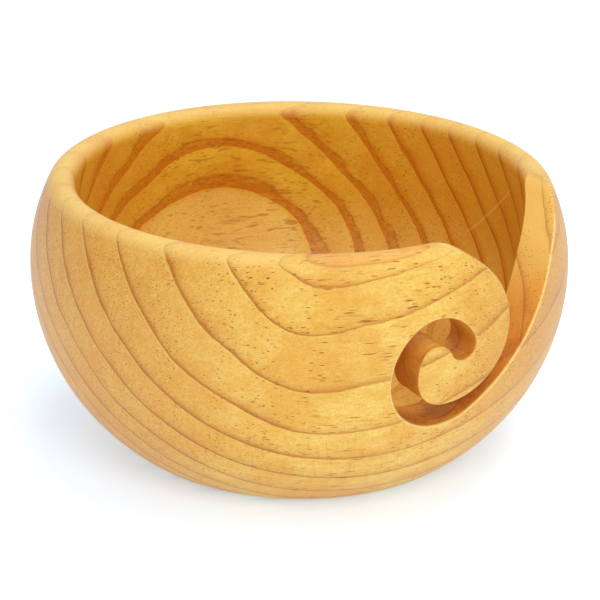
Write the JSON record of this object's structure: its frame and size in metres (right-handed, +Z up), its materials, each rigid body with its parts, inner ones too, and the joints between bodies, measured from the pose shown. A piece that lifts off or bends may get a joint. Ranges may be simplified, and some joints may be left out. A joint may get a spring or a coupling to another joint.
{
  "type": "yarn bowl",
  "caption": "Round bulging bowl turned from one block of pine, with a slot sawn through its wall that curls inwards to a round end and guides the yarn from a ball inside.",
  "frame": {"origin": "centre of the flat base, on the surface that the bowl stands on", "axes": "+Z is up, along the axis that the bowl was turned about; -Y is the front, and the slot is in the front right of the wall, sawn along a line turned 29 degrees from the front towards +X"},
  "size_m": [0.152, 0.152, 0.08],
  "materials": {
    "pine": "satin"
  },
  "bodies": {
    "root": {"bowl": "pine"}
  },
  "joints": []
}
